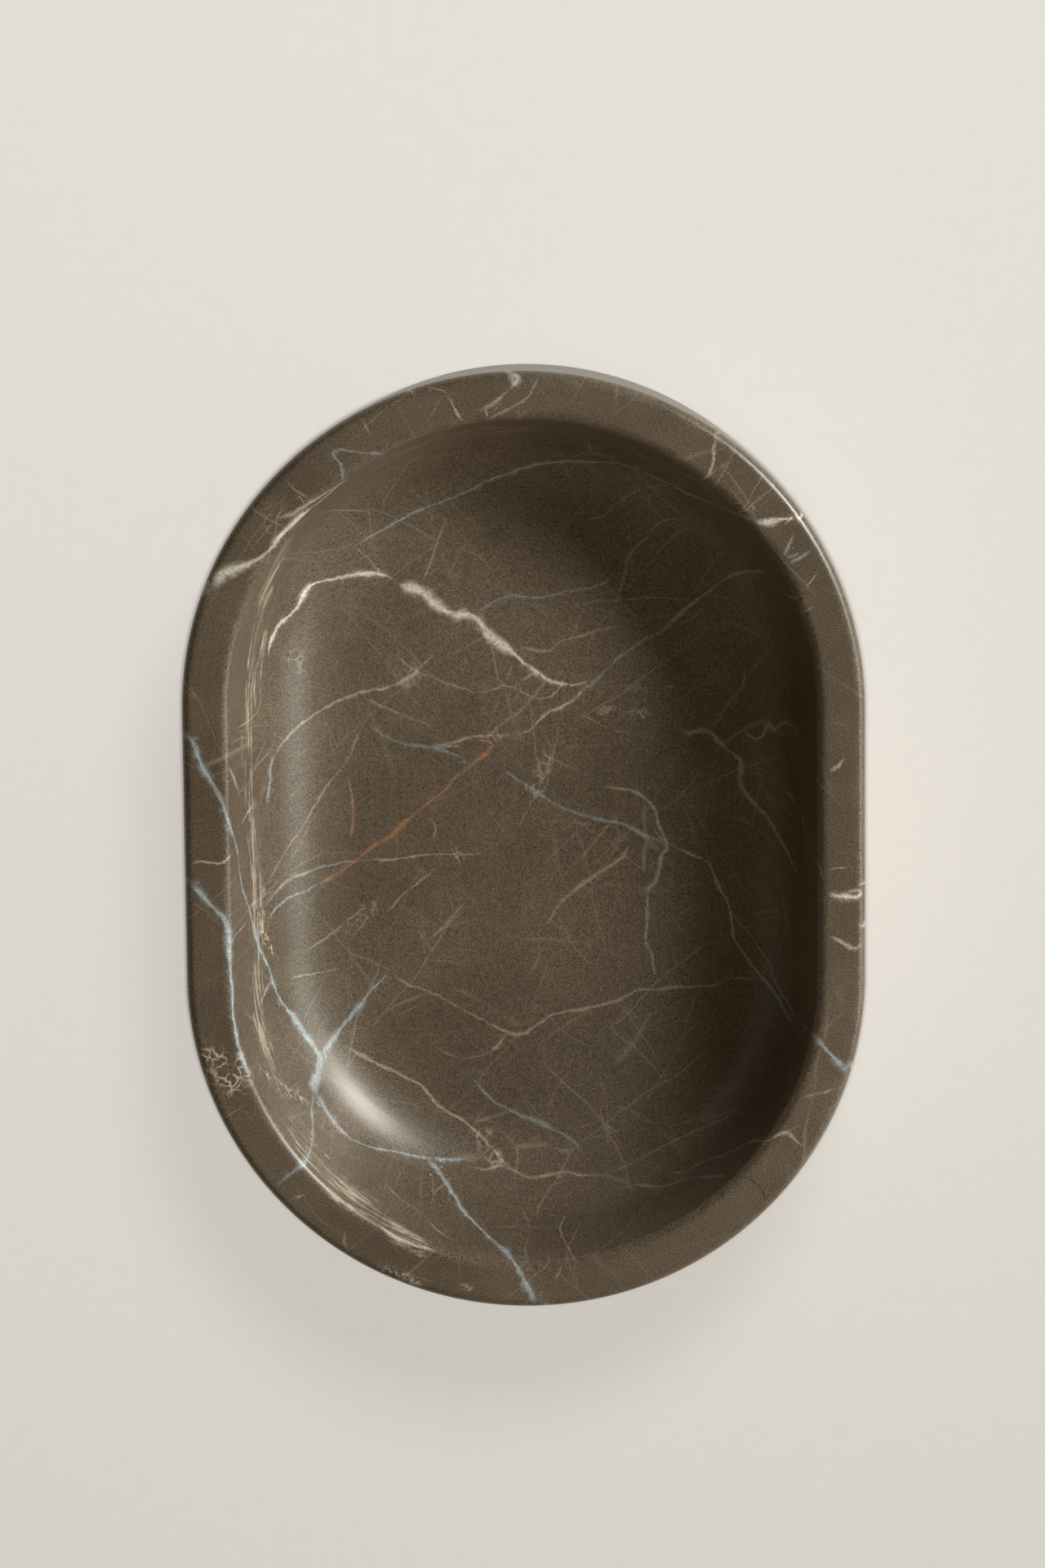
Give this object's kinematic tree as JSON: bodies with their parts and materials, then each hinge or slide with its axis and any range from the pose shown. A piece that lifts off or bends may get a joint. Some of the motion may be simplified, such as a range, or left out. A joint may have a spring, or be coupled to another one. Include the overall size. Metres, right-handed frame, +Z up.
{
  "type": "soap dish",
  "caption": "Deep soap dish carved from veined brown marble: stadium outline with round ends, flat rim, smooth swept bowl, on small stick-on bumper feet.",
  "frame": {"origin": "on the surface that the dish stands on, under the middle of the dish", "axes": "+Z up, out of the bowl; +Y along the dish's length; +X across its width"},
  "size_m": [0.0928, 0.1298, 0.03],
  "materials": {
    "marble": "honed",
    "bumper": "frosted",
    "adhesive": "matte"
  },
  "bodies": {
    "root": {"stone_dish": "marble", "foot_front_left": "bumper", "foot_front_right": "bumper", "foot_back_left": "bumper", "foot_back_right": "bumper", "adhesive_front_left": "adhesive", "adhesive_front_right": "adhesive", "adhesive_back_left": "adhesive", "adhesive_back_right": "adhesive"}
  },
  "joints": []
}
